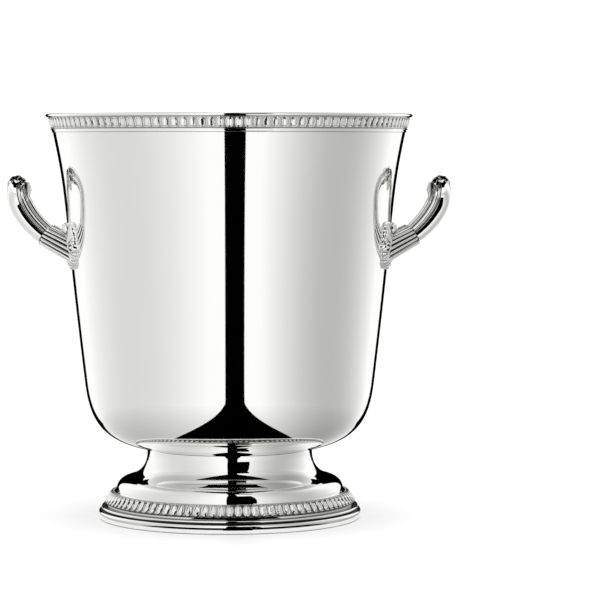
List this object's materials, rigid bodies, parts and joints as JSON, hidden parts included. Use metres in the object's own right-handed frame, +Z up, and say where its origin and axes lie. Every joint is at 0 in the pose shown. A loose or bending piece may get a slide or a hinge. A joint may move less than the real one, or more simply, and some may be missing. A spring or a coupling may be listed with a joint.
{
  "type": "champagne bucket",
  "caption": "Flared silver champagne bucket on a spreading round foot, with leaf borders at rim and base and a fixed loop handle on each side, for chilling a bottle in ice.",
  "frame": {"origin": "centre of the foot's underside, on the surface that the bucket stands on", "axes": "+Z up along the bowl's axis, +X out through the right handle, +Y to the back"},
  "size_m": [0.2718, 0.2244, 0.248],
  "materials": {
    "polished_silver": "mirror-polished silver plate",
    "chased_silver": "polished cast silver plate, darker in its recesses"
  },
  "bodies": {
    "root": {"bowl": "polished_silver", "rim_edge_wire": "polished_silver", "rim_leaf_border": "chased_silver", "rim_plain_band": "polished_silver", "foot_pedestal": "polished_silver", "foot_leaf_border": "chased_silver", "foot_fillet_wire": "polished_silver", "foot_base_band": "polished_silver", "right_handle_loop": "polished_silver", "right_crown_clasp": "chased_silver", "right_rosette": "chased_silver", "right_front_collar": "chased_silver", "right_front_leaf_plaque": "chased_silver", "right_back_collar": "chased_silver", "right_back_leaf_plaque": "chased_silver", "left_handle_loop": "polished_silver", "left_crown_clasp": "chased_silver", "left_rosette": "chased_silver", "left_front_collar": "chased_silver", "left_front_leaf_plaque": "chased_silver", "left_back_collar": "chased_silver", "left_back_leaf_plaque": "chased_silver"}
  },
  "joints": []
}
